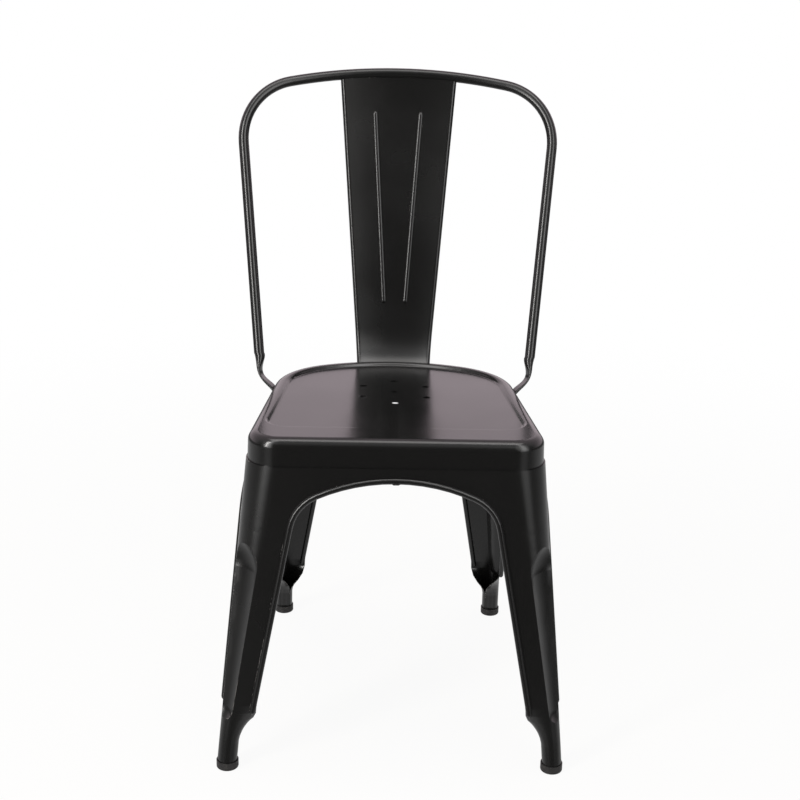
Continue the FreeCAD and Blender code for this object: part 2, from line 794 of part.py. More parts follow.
def hoop_wire(path, low_point):
    bend = corner_arc(path["bend_start"], path["bend_centre"], path["bend_end"])
    other_bend = corner_arc(mirrored(path["bend_end"]), mirrored(path["bend_centre"]),
                            mirrored(path["bend_start"]))
    curves = [
        Part.LineSegment(low_point, path["bend_start"]),
        bend,
        Part.Arc(path["bend_end"], path["top"], mirrored(path["bend_end"])),
        other_bend,
        Part.LineSegment(mirrored(path["bend_start"]), mirrored(low_point)),
    ]
    return Part.Wire([curve.toShape() for curve in curves])


def tube_along(wire, point, direction, radius):
    ring = Part.Wire([Part.Circle(point, direction, radius).toShape()])
    return wire.makePipeShell([ring], True, False)


# A section of the flattening tube, square to a direction: half as thick and half as wide as
# told. Flatness runs from 0, an oval, to 1, two flat faces with round edges.
def flat_ring(centre, direction, wide, half_thick, half_width, flatness):
    along = direction.normalize()
    broad = (wide - along * wide.dot(along)).normalize()
    thin = along.cross(broad)
    slant = math.sqrt(0.5)
    corner_thick = half_thick * between(slant, 1, flatness)
    round_edge = min(half_thick, half_width)
    corner_width = half_width - round_edge * between(1 - slant, 1, flatness)
    corners = [thin * (corner_thick * a) + broad * (corner_width * b)
               for a, b in ((1, 1), (-1, 1), (-1, -1), (1, -1))]
    middles = [broad * half_width, thin * -half_thick, broad * -half_width, thin * half_thick]
    curves = []
    for index in range(4):
        start = centre + corners[index]
        end = centre + corners[(index + 1) % 4]
        if flatness == 1 and index % 2 == 1:
            curves.append(Part.LineSegment(start, end).toShape())
        else:
            curves.append(Part.Arc(start, centre + middles[index], end).toShape())
    return Part.Wire(curves)


# Where the flattened end lies on the skirt, and the directions out of, along and up the skirt.
def lug_place():
    seat, out = skirt_side(size("hoop_joint"), JOINT_HEIGHT)
    wide = Vector(0, 0, 1).cross(out).normalize()
    return seat + out * (size("seat_gap") + size("lug_thick") / 2), out, wide, out.cross(wide)


# The right end of the tube: pressed flat, bent in toward the skirt and rounded at the tip.
def make_lug_end(path):
    lug, out, wide, up = lug_place()
    tube = size("hoop_tube")
    half_thick = size("lug_thick") / 2
    half_width = size("lug_width") / 2
    start = path["start"]
    pressed = hoop_side_point(JOINT_HEIGHT + size("hoop_pressed_rise"))
    lug_top = lug + up * half_width
    knee = (pressed + lug_top) * 0.5 + out * half_thick
    # Each station: its middle, its direction, half thickness, half width and flatness.
    stations = [
        (start, path["up"], tube, tube, 0),
        ((start + pressed) * 0.5, path["up"], between(half_thick, tube, 0.6),
         between(half_width, tube, 0.5), 0.4),
        (pressed, path["up"] * 3 + out, half_thick, half_width, 0.9),
        (knee, pressed - lug_top, half_thick, half_width, 1),
        (lug_top, up * 3 + out, half_thick, half_width, 1),
    ]
    rings = [flat_ring(point, way, wide, thick, width, flatness)
             for point, way, thick, width, flatness in stations]
    strap = Part.makeLoft(rings, True, False)
    low_ring = flat_ring(lug, up, wide, half_thick, half_width, 1)
    plate = Part.makeLoft([low_ring, rings[-1]], True, True)
    flat_end = half_width - half_thick
    rim = [
        Part.LineSegment(lug - out * half_thick, lug - out * half_thick + wide * flat_end),
        Part.Arc(lug - out * half_thick + wide * flat_end, lug + wide * half_width,
                 lug + out * half_thick + wide * flat_end),
        Part.LineSegment(lug + out * half_thick + wide * flat_end, lug + out * half_thick),
        Part.LineSegment(lug + out * half_thick, lug - out * half_thick),
    ]
    tip = Part.Face(Part.Wire([curve.toShape() for curve in rim])).revolve(lug, out, 360)
    return strap.fuse([plate, tip])


def make_hoop():
    path = hoop_path()
    wire = hoop_wire(path, path["start"])
    tube = tube_along(wire, path["start"], path["up"], size("hoop_tube"))
    hollow = tube_along(wire, path["start"], path["up"], size("hoop_tube") - size("hoop_wall"))
    end = make_lug_end(path)
    lug, out, wide, up = lug_place()
    reach = size("lug_width")
    bore = size("screw_bore") / 2 + size("seat_gap") / 2
    hole = Part.makeCylinder(bore, reach * 2, lug - out * reach, out)
    end = end.cut(hole)
    shape = tube.cut(hollow).fuse([end, end.mirror(Vector(0, 0, 0), Vector(1, 0, 0))])
    return shape


# Back panel: a tapered sheet, hollow toward the sitter, with its sides folded back and two
# pressed ribs. Its foot curls forward over the rim and stands against the back of the skirt.

SWEEP_STEPS = 7
PANEL_STEPS = 6


# The panel's foot leans with the skirt that it stands against.
def splat_shrink(height):
    return skirt_shrink(min(height, SPLAT_FOOT_TOP))


def splat_face(height):
    foot = size("seat_back") + size("seat_gap") - splat_shrink(height)
    path = hoop_path()
    top = path["top"].y - size("splat_top_front")
    left = 1 - share_of(height, SPLAT_FOOT_TOP, SPLAT_SWEEP_TOP)
    sweep = size("splat_sweep") * (1 - left ** size("splat_curl"))
    climb = share_of(height, SPLAT_FOOT_TOP, path["top"].z)
    rest = (top - foot - size("splat_sweep")) * climb
    return foot + sweep + rest


def splat_half(height):
    path = hoop_path()
    share = (height - SEAT_TOP) / (path["top"].z - SEAT_TOP)
    return between(size("splat_low_half"), size("splat_top_half"), share)


# Plan radius of the panel's front: that of the seat's back at the foot, flatter at the top.
def splat_hollow(height):
    share = share_of(height, SPLAT_FOOT_TOP, hoop_path()["top"].z)
    foot_bow = size("rear_bow") + size("seat_gap") - splat_shrink(height)
    return between(foot_bow, size("splat_top_bow"), share)


def splat_front(x, height):
    hollow = splat_hollow(height)
    return splat_face(height) - hollow + math.sqrt(hollow ** 2 - x ** 2)


def splat_section(height):
    gauge = size("splat_sheet")
    hollow = splat_hollow(height)
    half = splat_half(height)
    bend = size("splat_bend")
    face = splat_face(height)
    share = share_of(height, SPLAT_LOW, SPLAT_SWEEP_TOP)
    back_fold = between(size("splat_low_fold"), size("splat_fold"), share)
    outer = splat_line(half, bend, hollow, face, back_fold, 0, height)
    inner = splat_line(half, bend, hollow, face, back_fold, gauge, height)
    left_cap = Part.LineSegment(outer[-1].EndPoint, inner[-1].EndPoint)
    right_cap = Part.LineSegment(inner[0].StartPoint, outer[0].StartPoint)
    curves = outer + [left_cap] + inner[::-1] + [right_cap]
    return Part.Wire([curve.toShape() for curve in curves])


# From the right fold's edge, round the front of the panel, to the left fold's edge.
def splat_line(half, bend, hollow, face, fold, inset, height):
    hub = Vector(0, face - hollow, height)
    radius = hollow + inset
    side = half - inset
    round_in = bend - inset
    centre_x = half - bend
    centre_y = hub.y + math.sqrt((hollow + bend) ** 2 - centre_x ** 2)
    centre = Vector(centre_x, centre_y, height)
    front_out = (hub - centre).normalize()
    front_end = centre + front_out * round_in
    side_start = Vector(side, centre_y, height)
    side_end = Vector(side, centre_y + fold - bend, height)
    right = [Part.LineSegment(side_end, side_start), corner_arc(side_start, centre, front_end)]
    left = [corner_arc(mirrored(front_end), mirrored(centre), mirrored(side_start)),
            Part.LineSegment(mirrored(side_start), mirrored(side_end))]
    middle = Vector(0, hub.y + radius, height)
    return right + [Part.Arc(front_end, middle, mirrored(front_end))] + left


# A pressed rib: a hollow half-round ridge on the front of the panel. Gives the ridge and the
# slot that it leaves behind it.
def make_rib():
    radius = size("rib_round")
    gauge = size("splat_sheet")
    ends = []
    for rise, half in (("rib_low_rise", "rib_low_half"), ("rib_top_rise", "rib_top_half")):
        height = SEAT_TOP + size(rise)
        x = size(half)
        ends.append(Vector(x, splat_front(x, height) + radius - size("rib_rise"), height))
    low, top = ends
    solids = []
    for round_size in (radius, radius - gauge):
        bar = Part.makeCylinder(round_size, (top - low).Length, low, top - low)
        ball_low = Part.makeSphere(round_size, low)
        ball_top = Part.makeSphere(round_size, top)
        solids.append(bar.fuse([ball_low, ball_top]))
    outside, slot = solids
    depth = Vector(0, size("rib_rise") - radius + gauge / 2, 0)
    across = Vector(radius * 2, 0, 0)
    along = (top - low).normalize() * radius * 2
    corners = [low - along - across, low - along + across, top + along + across,
               top + along - across]
    face = Part.Face(Part.makePolygon([corner + depth for corner in corners + corners[:1]]))
    front = face.extrude(Vector(0, -radius * 2, 0))
    return outside.common(front).cut(slot), slot


def rivet_places():
    height = (SPLAT_LOW + SPLAT_FOOT_TOP) / 2
    return [skirt_back(side * size("rivet_spread"), height) for side in (-1, 1)]


def splat_part(low, top, steps, ruled):
    sections = [splat_section(between(low, top, step / steps)) for step in range(steps + 1)]
    return Part.makeLoft(sections, True, ruled)


def make_splat():
    path = hoop_path()
    top = path["top"]
    foot = splat_part(SPLAT_LOW, SPLAT_FOOT_TOP, 1, True)
    sweep = splat_part(SPLAT_FOOT_TOP, SPLAT_SWEEP_TOP, SWEEP_STEPS, False)
    upper = splat_part(SPLAT_SWEEP_TOP, top.z - size("splat_sheet"), PANEL_STEPS, True)
    panel = foot.fuse([sweep, upper])
    tube = size("hoop_tube")
    clearance = tube_along(hoop_wire(path, path["start"]), path["start"], path["up"],
                           tube + size("seat_gap") / 2)
    panel = panel.cut(clearance)
    ridge, slot = make_rib()
    mirror_plane = (Vector(0, 0, 0), Vector(1, 0, 0))
    panel = panel.cut([slot, slot.mirror(*mirror_plane)])
    panel = panel.fuse([ridge, ridge.mirror(*mirror_plane)])
    bore = size("rivet_bore") / 2 + size("seat_gap") / 2
    reach = size("rivet_head")
    holes = [Part.makeCylinder(bore, reach * 2, point - out * reach, out)
             for point, out in rivet_places()]
    panel = panel.cut(holes)
    # What the top tube cuts off above itself is left out.
    solids = sorted(panel.Solids, key=lambda solid: solid.Volume)
    return solids[-1]


# A round fastener about the Z axis, drawn as half its profile and turned.
def turned(points):
    wire = Part.makePolygon(points + points[:1])
    return Part.Face(wire).revolve(Vector(0, 0, 0), Vector(0, 0, 1), 360)


def toward(shape, point, direction):
    placed = shape.copy()
    placed.Placement = Placement(point, Rotation(Vector(0, 0, 1), direction))
    return placed


DOME_STEPS = 8


def dome_profile(shank, head, rise, length):
    sphere = (head ** 2 + rise ** 2) / (2 * rise)
    points = [Vector(0, 0, -length), Vector(shank, 0, -length), Vector(shank, 0, 0),
              Vector(head, 0, 0)]
    half_angle = math.asin(head / sphere)
    for step in range(1, DOME_STEPS):
        angle = half_angle * (1 - step / DOME_STEPS)
        points.append(Vector(sphere * math.sin(angle), 0, sphere * math.cos(angle) - sphere + rise))
    points.append(Vector(0, 0, points[-1].z))
    return points


# Domed screws hold the backrest's flattened ends, each with a nut inside the skirt.
def add_hoop_fasteners():
    lug, out, wide, up = lug_place()
    shank = size("screw_bore") / 2
    outside = lug + out * (size("lug_thick") / 2 + size("head_gap"))
    inside = lug - out * (size("lug_thick") / 2 + size("seat_gap") + size("pan_sheet"))
    corner = size("nut_wide") / math.sqrt(3)
    nut_seat = inside - out * (size("head_gap") + hollow_rise(corner, size("rear_round")))
    length = (outside - nut_seat).Length + size("nut_high") + size("screw_past")
    screw = turned(dome_profile(shank, size("screw_head") / 2, size("screw_rise"), length))
    corners = [rotated(Vector(corner, 0, 0), math.radians(60 * k)) for k in range(7)]
    nut = Part.Face(Part.makePolygon(corners)).extrude(Vector(0, 0, size("nut_high")))
    nut = nut.cut(Part.makeCylinder(shank + size("seat_gap") / 2, size("nut_high")))
    add_pair(toward(screw, outside, out), "backrest_screws")
    add_pair(toward(nut, nut_seat, out * -1), "backrest_nuts")


# How deep a flat round thing stands off a hollow cylinder's wall.
def hollow_rise(half, radius):
    return radius - math.sqrt(radius ** 2 - half ** 2)


# A piece and its mirror image, as one group of two solids.
def add_pair(right, name):
    left = right.mirror(Vector(0, 0, 0), Vector(1, 0, 0))
    keep(add_shape(Part.makeCompound([left, right]), name), name)


# A rivet about the Z axis: its domed head stands on the XY plane, and the head that closes it
# is below, the grip away.
def make_rivet(grip):
    shank = size("rivet_bore") / 2
    head = size("rivet_head") / 2
    body = turned(dome_profile(shank, head, size("rivet_rise"), grip + size("head_gap")))
    closed = turned(dome_profile(shank, head, size("rivet_rise"), size("head_gap")))
    return body.fuse(toward(closed, Vector(0, 0, -grip), Vector(0, 0, -1)))


def add_rivets():
    point, out = rivet_places()[1]
    outside = size("seat_gap") + size("splat_sheet") + size("head_gap")
    hollow = hollow_rise(size("rivet_head") / 2, size("rear_bow"))
    inside = size("pan_sheet") + size("head_gap") + hollow
    rivet = make_rivet(outside + inside)
    add_pair(toward(rivet, point + out * outside, out), "back_panel_rivets")


# Cross braces: two flat bars under the seat from corner to corner, their ends turned down
# against the insides of the legs. They cross flat on each other and a rivet joins them.

# Inner circle of a leg's corner at a height. The sheet runs straight between its levels.
def corner_circle(front, height):
    leg = leg_numbers(front)
    below = max(level for level in WING_LEVELS if level <= height)
    above = min(level for level in WING_LEVELS if level > height)
    share = share_of(height, below, above)
    circles = []
    for level_height in (below, above):
        level = leg_level(leg, level_height)
        centre = Vector(level["centre"].x, leg["way"] * level["centre"].y, 0)
        circles.append((centre, level["radius"] - size("leg_sheet")))
    (low_centre, low_radius), (high_centre, high_radius) = circles
    centre = low_centre + (high_centre - low_centre) * share
    return centre, between(low_radius, high_radius, share)


# How far from a point a brace may run toward a leg before its turned-down end, as wide as the
# brace, would meet the corner.
def brace_reach(front, origin, run, heights):
    half = size("brace_width") / 2
    reaches = []
    for height in heights:
        centre, radius = corner_circle(front, height)
        if not front:
            centre = mirrored(centre)
        offset = centre - origin
        aside = (offset - run * offset.dot(run)).Length
        reach = offset.dot(run) + math.sqrt(radius ** 2 - (half + aside) ** 2)
        reaches.append(reach)
    return min(reaches) - size("seat_gap")


# The brace from the rear left corner to the front right one, lifted or not: its ends and its
# direction. Its underside is as high as it comes near the corners, because of its bends.
def brace_line(lift):
    level = brace_height()
    front_centre = corner_circle(True, level)[0]
    rear_centre = mirrored(corner_circle(False, level)[0])
    run = (front_centre - rear_centre).normalize()
    low = level - size("brace_drop")
    top = level + lift
    heights = (low, between(low, top, 0.5), top)
    start = rear_centre - run * brace_reach(False, rear_centre, run * -1, heights)
    end = rear_centre + run * brace_reach(True, rear_centre, run, heights)
    return start, end, run


def brace_height():
    return SKIRT_LOW - size("brace_below") - size("brace_thick") * 2


# A strip with both ends turned down, drawn from the side and extruded across its width.
def add_brace(name, lift, mirror):
    level = brace_height()
    thick = size("brace_thick")
    start, end, run = brace_line(lift)
    length = (end - start).Length
    drop = size("brace_drop") + lift
    points = [
        Vector(0, -drop, 0), Vector(thick, -drop, 0), Vector(thick, 0, 0),
        Vector(length - thick, 0, 0), Vector(length - thick, -drop, 0),
        Vector(length, -drop, 0), Vector(length, thick, 0), Vector(0, thick, 0),
    ]
    body = doc.addObject("PartDesign::Body", name + "_bar")
    curves = [Part.LineSegment(points[i], points[(i + 1) % 8]) for i in range(8)]
    profile = add_sketch(body, name + "_profile", curves, role="XZ_Plane")
    bar = body.newObject("PartDesign::Pad", name + "_strip")
    bar.Profile = profile
    bar.setExpression("Length", "sizes.brace_width")
    bar.Midplane = True
    doc.recompute()
    outer = bend_edges(bar.Shape, (0, length), thick)
    bent = add_fillet(body, name + "_outer_bend", bar, outer,
                      "sizes.brace_thick + sizes.brace_bend")
    inner = bend_edges(bent.Shape, (thick, length - thick), 0)
    add_fillet(body, name + "_inner_bend", bent, inner, "sizes.brace_bend")
    crossing = Vector(brace_crossing(start, run), 0, -thick)
    add_bore(body, name + "_bore", "sizes.rivet_bore / 2 + sizes.seat_gap / 2", thick * 3,
             Placement(crossing, Rotation()))
    angle = math.degrees(math.atan2(run.y, run.x))
    place = Placement(Vector(start.x, start.y, level + lift), Rotation(Vector(0, 0, 1), angle))
    if mirror:
        other = Vector(-start.x, start.y, level + lift)
        place = Placement(other, Rotation(Vector(0, 0, 1), 180 - angle))
    body.Placement = place
    doc.recompute()
    keep(body, name)


# Distance along a brace from its rear end to the chair's centre line, where the two cross.
def brace_crossing(start, run):
    return -start.x / run.x


# The edges across the strip at a height, at either of two places along it.
def bend_edges(shape, places, height):
    found = []
    for index, edge in enumerate(shape.Edges, start=1):
        box = edge.BoundBox
        flat = box.XLength < 0.01 and box.ZLength < 0.01
        if flat and abs(box.ZMin - height) < 0.01 and min(abs(box.XMin - p) for p in places) < 0.01:
            found.append("Edge%d" % index)
    return found


def add_brace_rivet():
    level = brace_height()
    thick = size("brace_thick")
    start, end, run = brace_line(0)
    centre = start + run * brace_crossing(start, run)
    grip = thick * 2 + size("head_gap") * 2
    head = Vector(centre.x, centre.y, level + thick * 2 + size("head_gap"))
    rivet = toward(make_rivet(grip), head, Vector(0, 0, 1))
    keep(add_shape(rivet, "brace_rivet"), "brace_rivet")


# Foot cap: a round moulded cup over the end of each foot.

def add_cap(name, x, y):
    body = doc.addObject("PartDesign::Body", name + "_cup")
    wide = size("foot_tube") + size("seat_gap") + size("cap_wall")
    up = Vector(0, 0, 1)
    outline = add_sketch(body, name + "_outline", [Part.Circle(Vector(0, 0, 0), up, wide)])
    outline.addConstraint(Sketcher.Constraint("Radius", 0, wide))
    outline.setExpression("Constraints[0]",
                          "sizes.foot_tube + sizes.seat_gap + sizes.cap_wall")
    cup = body.newObject("PartDesign::Pad", name + "_block")
    cup.Profile = outline
    cup.setExpression("Length", "sizes.cap_height")
    doc.recompute()
    add_fillet(body, name + "_edge", cup, edges_at(cup.Shape, 0), "sizes.cap_wall * 2")
    socket = add_sketch(body, name + "_socket", [
        Part.Circle(Vector(0, 0, 0), up, size("foot_tube") + size("seat_gap"))],
        "sizes.cap_height")
    socket.addConstraint(Sketcher.Constraint("Radius", 0, size("foot_tube") + size("seat_gap")))
    socket.setExpression("Constraints[0]", "sizes.foot_tube + sizes.seat_gap")
    hollow = body.newObject("PartDesign::Pocket", name + "_hollow")
    hollow.Profile = socket
    hollow.setExpression("Length", "sizes.cap_height - sizes.cap_floor")
    doc.recompute()
    body.Placement = Placement(Vector(x, y, 0), Rotation())
    keep(body, name)


def add_pan():
    gauge = size("pan_sheet")
    blend = "sizes.panel_blend"
    outside = make_pan_form("pan_outside", 0, blend, blend + " + sizes.pan_sheet")
    inside = make_pan_form("pan_inside", gauge, blend + " + sizes.pan_sheet", blend)
    add_drain_holes(outside)
    lug, out, wide, up = lug_place()
    spots = [(lug, out, size("screw_bore")), (mirrored(lug), mirrored(out), size("screw_bore"))]
    spots += [(point, way, size("rivet_bore")) for point, way in rivet_places()]
    depth = size("rim_roll")
    for number, (point, way, bore) in enumerate(spots):
        place = Placement(point - way * depth, Rotation(Vector(0, 0, 1), way))
        radius = "%g + sizes.seat_gap / 2" % (bore / 2)
        add_bore(outside, "skirt_bore_%d" % number, radius, depth * 2, place)
    pan = doc.addObject("Part::Cut", "seat_pan")
    pan.Base = outside
    pan.Tool = inside
    doc.recompute()
    keep(pan, "seat_pan")


def check_and_write():
    doc.recompute()
    for obj in doc.Objects:
        if "Invalid" in obj.State or "Error" in obj.State:
            raise ValueError("failed: " + obj.Label)
    for node in NODES:
        shape = node.Shape
        if shape.isNull() or not shape.isValid() or not shape.Solids:
            raise ValueError("bad shape: " + node.Label)
    for node in NODES:
        node.Shape.exportStep("parts/%s.step" % node.Label)
        print(node.Label, len(node.Shape.Solids), round(node.Shape.Volume))


add_pan()
add_legs(True)
add_legs(False)
keep(add_shape(make_hoop(), "backrest_hoop"), "backrest_hoop")
keep(add_shape(make_splat(), "back_panel"), "back_panel")
add_hoop_fasteners()
add_rivets()
add_brace("cross_brace_lower", 0, False)
add_brace("cross_brace_upper", size("brace_thick"), True)
add_brace_rivet()
for side, side_name in ((-1, "left"), (1, "right")):
    add_cap("foot_cap_front_" + side_name, side * size("foot_front_half"), -size("foot_front"))
    add_cap("foot_cap_rear_" + side_name, side * size("foot_back_half"), size("foot_back"))
check_and_write()
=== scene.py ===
import bpy
import math
from mathutils import Matrix, Vector


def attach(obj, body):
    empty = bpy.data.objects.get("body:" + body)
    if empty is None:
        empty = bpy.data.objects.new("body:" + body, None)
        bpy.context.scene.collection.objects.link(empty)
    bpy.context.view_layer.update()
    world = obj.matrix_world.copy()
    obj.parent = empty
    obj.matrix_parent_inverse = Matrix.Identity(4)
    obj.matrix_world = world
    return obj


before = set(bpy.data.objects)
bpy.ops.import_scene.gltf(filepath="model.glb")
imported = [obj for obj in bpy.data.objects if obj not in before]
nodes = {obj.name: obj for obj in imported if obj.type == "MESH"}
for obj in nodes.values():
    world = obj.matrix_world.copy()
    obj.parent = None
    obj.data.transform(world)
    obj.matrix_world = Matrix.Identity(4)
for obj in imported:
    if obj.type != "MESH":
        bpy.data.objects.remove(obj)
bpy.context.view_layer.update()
print("frame loaded:", len(nodes), "nodes")


# Camera: a little left of the middle, looking down on the seat.

cameraSettings = {
    "place": (-0.0354, -1.8797, 1.0102),
    "yaw": 0.02288,  # radians, all three
    "pitch": 0.30132,
    "roll": 0.02316,
    "lens": 65.22,
    "sensor": 36,
}


def addCamera(settings):
    data = bpy.data.cameras.new("photoCamera")
    data.lens = settings["lens"]
    data.sensor_width = settings["sensor"]
    camera = bpy.data.objects.new("photoCamera", data)
    bpy.context.scene.collection.objects.link(camera)
    yaw, pitch, roll = settings["yaw"], settings["pitch"], settings["roll"]
    ahead = Vector((math.sin(yaw) * math.cos(pitch), math.cos(yaw) * math.cos(pitch), -math.sin(pitch)))
    right = Vector((math.cos(yaw), -math.sin(yaw), 0))
    up = right.cross(ahead)
    tiltedRight = right * math.cos(roll) + up * math.sin(roll)
    tiltedUp = up * math.cos(roll) - right * math.sin(roll)
    turn = Matrix((tiltedRight, tiltedUp, -ahead)).transposed()
    camera.matrix_world = Matrix.Translation(Vector(settings["place"])) @ turn.to_4x4()
    bpy.context.scene.camera = camera


addCamera(cameraSettings)
print("camera set")


# Small helpers for node trees.

def addNode(tree, kind, inputs=None, **values):
    node = tree.nodes.new(kind)
    for name, value in values.items():
        setattr(node, name, value)
    for name, value in (inputs or {}).items():
        if isinstance(value, bpy.types.NodeSocket):
            tree.links.new(value, node.inputs[name])
        else:
            node.inputs[name].default_value = value
    return node


def addMath(tree, operation, first, second=0.0, clamp=False):
    node = addNode(tree, "ShaderNodeMath", {0: first, 1: second}, operation=operation)
    node.use_clamp = clamp
    return node.outputs[0]


def addRange(tree, value, low, high, toLow=0.0, toHigh=1.0):
    node = addNode(tree, "ShaderNodeMapRange", {"Value": value, "From Min": low, "From Max": high,
                                                "To Min": toLow, "To Max": toHigh},
                   interpolation_type="SMOOTHSTEP")
    return node.outputs["Result"]


def mixValues(tree, share, first, second):
    node = addNode(tree, "ShaderNodeMix", {0: share, 2: first, 3: second}, data_type="FLOAT")
    return node.outputs[0]


def mixColours(tree, share, first, second):
    node = addNode(tree, "ShaderNodeMix", {0: share, 6: first, 7: second}, data_type="RGBA")
    return node.outputs[2]


def addNoise(tree, place, scale, detail):
    node = addNode(tree, "ShaderNodeTexNoise", {"Vector": place, "Scale": scale, "Detail": detail})
    return node.outputs[0]


# 1 where the camera sees the studio itself, and 0 for light that falls on the chair.
def addSeen(tree, path):
    return addMath(tree, "MAXIMUM", path["Is Camera Ray"], path["Is Transmission Ray"])


# Studio: white backdrop and floor. The gloss sees bright walls behind and beside the chair, and darkness in
# front, with an upright band of light on each side of the camera.

white = (1, 1, 1, 1)
roomSettings = {
    "wall": 1.22,  # what the gloss sees low behind the chair
    "wallTop": 0.80,  # and higher up
    "wallTint": (1.0, 0.86, 0.92, 1),
    "dark": 0.07,  # what it sees in front
    "ceiling": 0.6,  # and high in front
    "floorTone": 0.08,  # what it sees of the floor in front
    "floorBack": 0.62,  # and of the floor below, beside and behind
    "band": 3.4,  # brightness of the two bands
    "bandFoot": 0.04,  # share of it towards the floor
    "softLight": 0.45,  # what lights the matt side of every surface
}
# Where each change starts and ends, in the parts of a direction of length 1 that go up, back or sideways.
roomSpans = {
    "wallUp": (0.2, 0.7),
    "ceilingUp": (0.30, 0.85),
    "horizonUp": (-0.06, 0.10),
    "floorUp": (-0.12, -0.28),
    "underUp": (-0.45, -0.85),
    "bandUp": (-0.32, 0.08),
    "wallBack": (-0.5, 0.5),
    "floorBack": (-0.8, 0.2),
    "bandInner": (0.36, 0.56),
    "bandOuter": (0.88, 0.68),
}


# What the gloss sees of walls and floor, and the share of it that is the wall behind.
def addWalls(tree, way, settings, spans):
    wall = addRange(tree, way["Z"], *spans["wallUp"], settings["wall"], settings["wallTop"])
    front = addRange(tree, way["Z"], *spans["ceilingUp"], settings["dark"], settings["ceiling"])
    behind = addRange(tree, way["Y"], *spans["wallBack"])
    beside = addRange(tree, way["Y"], *spans["floorBack"])
    low = addRange(tree, way["Z"], *spans["floorUp"])
    under = addRange(tree, way["Z"], *spans["underUp"])
    lit = addMath(tree, "MAXIMUM", addMath(tree, "MULTIPLY", beside, low), under)
    ground = mixValues(tree, lit, settings["floorTone"], settings["floorBack"])
    above = addRange(tree, way["Z"], *spans["horizonUp"])
    tone = mixValues(tree, above, ground, mixValues(tree, behind, front, wall))
    return tone, addMath(tree, "MULTIPLY", behind, above)


# The two bands of light, which fade out towards the floor.
def addBands(tree, way, settings, spans):
    level = addNode(tree, "ShaderNodeCombineXYZ", {0: way["X"], 1: way["Y"]}).outputs[0]
    heading = addNode(tree, "ShaderNodeVectorMath", {0: level}, operation="NORMALIZE").outputs[0]
    turn = addNode(tree, "ShaderNodeSeparateXYZ", {0: heading}).outputs
    sideways = addMath(tree, "ABSOLUTE", turn["X"])
    inner = addRange(tree, sideways, *spans["bandInner"])
    outer = addRange(tree, sideways, *spans["bandOuter"])
    facing = addMath(tree, "LESS_THAN", turn["Y"], 0.0)
    climb = addRange(tree, way["Z"], *spans["bandUp"], settings["bandFoot"], 1.0)
    across = addMath(tree, "MULTIPLY", inner, outer)
    strip = addMath(tree, "MULTIPLY", across, addMath(tree, "MULTIPLY", facing, climb))
    return addMath(tree, "MULTIPLY", strip, settings["band"])


def addRoom(settings, spans):
    world = bpy.data.worlds.new("studio")
    bpy.context.scene.world = world
    world.use_nodes = True
    tree = world.node_tree
    tree.nodes.clear()
    place = addNode(tree, "ShaderNodeTexCoord").outputs["Generated"]
    way = addNode(tree, "ShaderNodeSeparateXYZ", {0: place}).outputs
    tone, back = addWalls(tree, way, settings, spans)
    bands = addBands(tree, way, settings, spans)
    glow = addMath(tree, "ADD", tone, bands)
    path = addNode(tree, "ShaderNodeLightPath").outputs
    seen = addSeen(tree, path)
    unseen = mixValues(tree, path["Is Glossy Ray"], settings["softLight"], glow)
    strength = mixValues(tree, seen, unseen, 1.0)
    glossy = addMath(tree, "SUBTRACT", path["Is Glossy Ray"], seen, True)
    colour = mixColours(tree, addMath(tree, "MULTIPLY", glossy, back), white, settings["wallTint"])
    shader = addNode(tree, "ShaderNodeBackground", {"Color": colour, "Strength": strength})
    out = addNode(tree, "ShaderNodeOutputWorld")
    tree.links.new(shader.outputs[0], out.inputs["Surface"])


floorSettings = {
    "half": 6.0,
    "colour": (0.86, 0.82, 0.77, 1),
    "shown": 0.93,  # share of plain white that the camera sees round the feet
    "near": 0.4,  # metres, where that share starts to rise
    "far": 2.2,  # and where it reaches plain white
}


def addFloor(settings):
    bpy.ops.object.select_all(action="DESELECT")
    bpy.ops.mesh.primitive_plane_add(size=settings["half"] * 2, location=(0, 0, 0))
    floor = bpy.context.object
    floor.name = "studioFloor"
    floor.visible_glossy = False
    material = bpy.data.materials.new("floorWhite")
    material.use_nodes = True
    tree = material.node_tree
    tree.nodes.clear()
    matt = addNode(tree, "ShaderNodeBsdfDiffuse", {"Color": settings["colour"]})
    glow = addNode(tree, "ShaderNodeEmission", {"Color": white, "Strength": 1.0})
    seen = addSeen(tree, addNode(tree, "ShaderNodeLightPath").outputs)
    spot = addNode(tree, "ShaderNodeTexCoord").outputs["Object"]
    away = addNode(tree, "ShaderNodeVectorMath", {0: spot}, operation="LENGTH").outputs["Value"]
    shown = addRange(tree, away, settings["near"], settings["far"], settings["shown"], 1.0)
    share = addMath(tree, "MULTIPLY", seen, shown)
    mix = addNode(tree, "ShaderNodeMixShader", {0: share, 1: matt.outputs[0], 2: glow.outputs[0]})
    out = addNode(tree, "ShaderNodeOutputMaterial")
    tree.links.new(mix.outputs[0], out.inputs["Surface"])
    floor.data.materials.append(material)


lampColour = (1.0, 0.98, 0.95)
lampSettings = (
    {"name": "overhead", "place": (0.0, -0.3, 2.5), "aim": (0, -0.05, 0.4),
     "size": (1.8, 1.0), "power": 15.0},
    {"name": "leftStrip", "place": (-1.75, -1.75, 1.45), "aim": (0, 0, 0.6),
     "size": (0.34, 2.5), "power": 46.0},
    {"name": "rightSoft", "place": (1.2, -2.1, 1.6), "aim": (0, 0, 0.5),
     "size": (1.4, 1.9), "power": 8.0},
)


